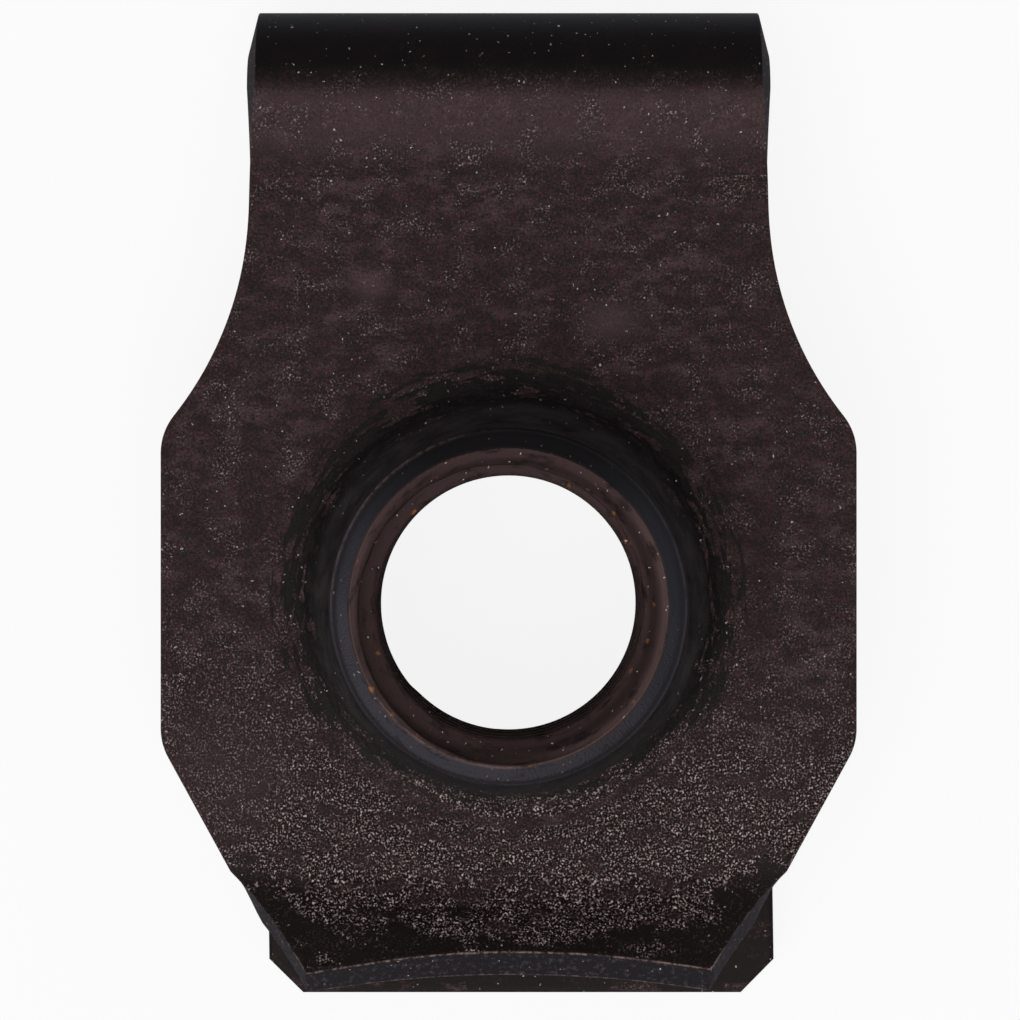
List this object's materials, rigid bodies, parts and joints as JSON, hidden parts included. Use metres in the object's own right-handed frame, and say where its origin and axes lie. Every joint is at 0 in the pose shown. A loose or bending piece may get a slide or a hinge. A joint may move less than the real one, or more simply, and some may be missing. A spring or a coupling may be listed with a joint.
{
  "type": "u clip speed nut",
  "caption": "Folded spring-steel clip that slides over a panel edge, with a drawn, tapped collar on one leaf and a plain clearance hole in the other.",
  "frame": {"origin": "on the thread axis, in the outer face of the nut leaf", "axes": "+Z out along the collar, +Y towards the fold, -Y towards the open mouth, +X across the strip"},
  "size_m": [0.0232, 0.0335, 0.0114],
  "materials": {
    "phosphated_steel": "brown-black phosphate with a film of oil, finely grained, satin to matt"
  },
  "bodies": {
    "root": {"clip_nut": "phosphated_steel"}
  },
  "joints": []
}
